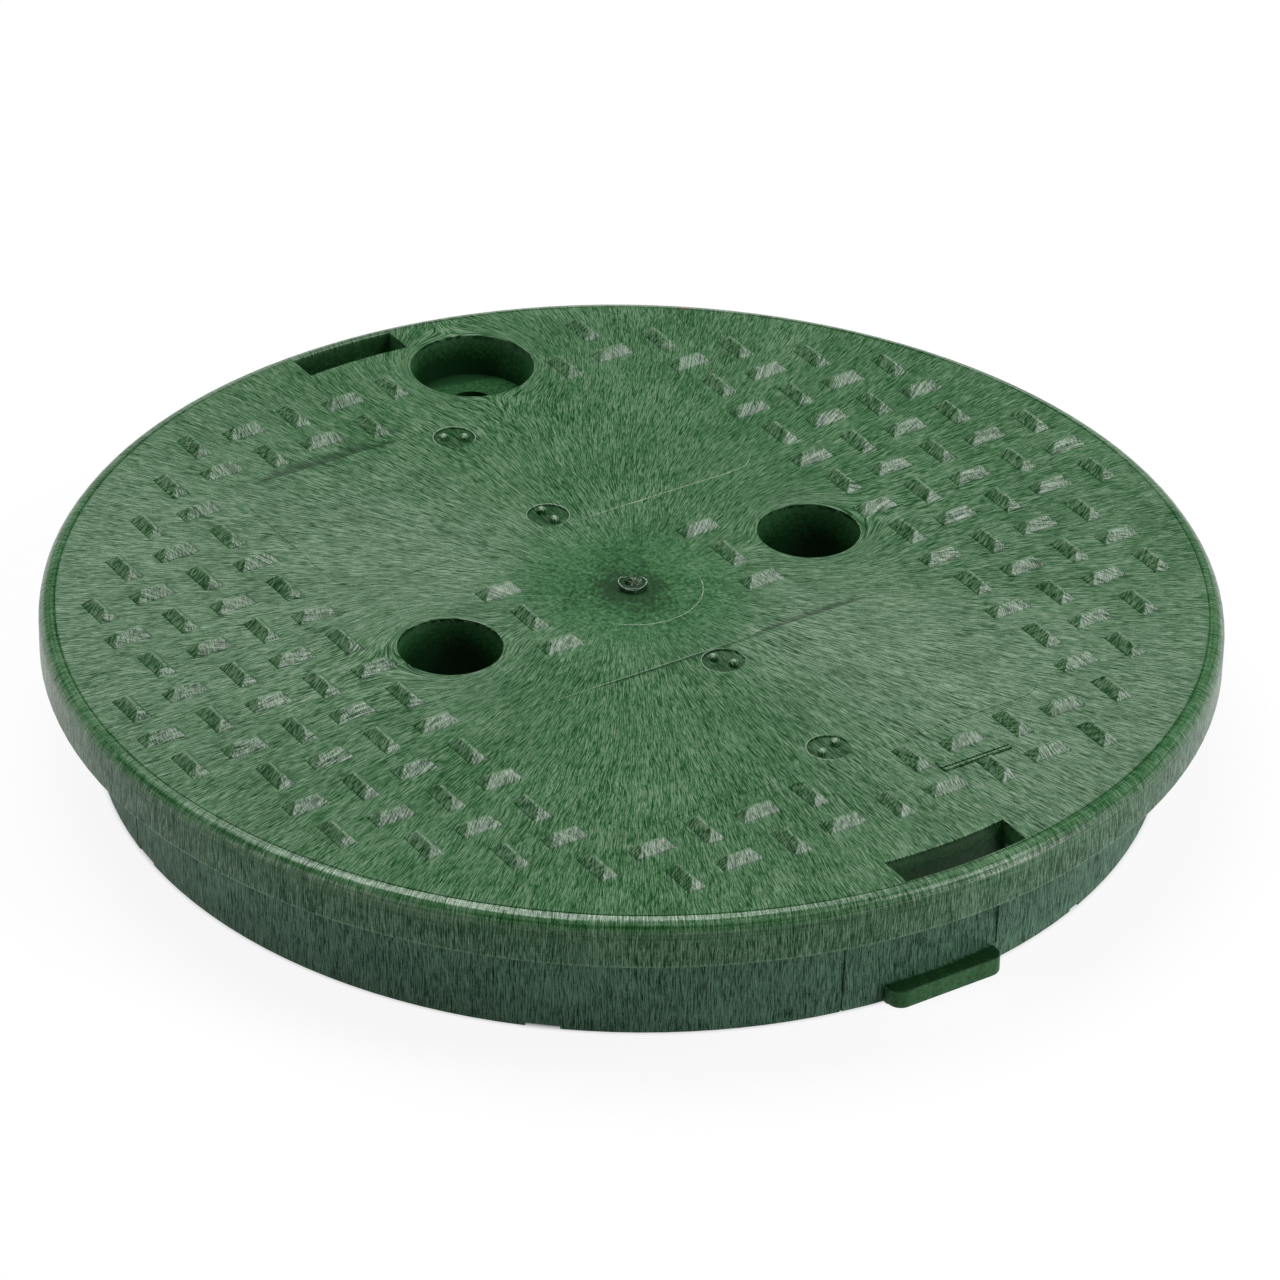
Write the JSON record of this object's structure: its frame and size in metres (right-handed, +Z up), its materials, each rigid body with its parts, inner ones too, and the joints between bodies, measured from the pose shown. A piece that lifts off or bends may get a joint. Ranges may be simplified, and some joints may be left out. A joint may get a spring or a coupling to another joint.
{
  "type": "valve box cover",
  "caption": "Round drop-in lid for a buried valve box: treaded plate with a turned-down rim, drafted skirt, finger holes, bolt seat and snap-in latch tabs.",
  "frame": {"origin": "middle of the skirt's foot, on the surface that the cover stands on", "axes": "+Z up through the plate, +X through the two finger holes, front latch on the -Y side"},
  "size_m": [0.254, 0.254, 0.0367],
  "materials": {
    "green_plastic": "streaky moulded green plastic, satin"
  },
  "bodies": {
    "root": {"valve_box_cover": "green_plastic"}
  },
  "joints": []
}
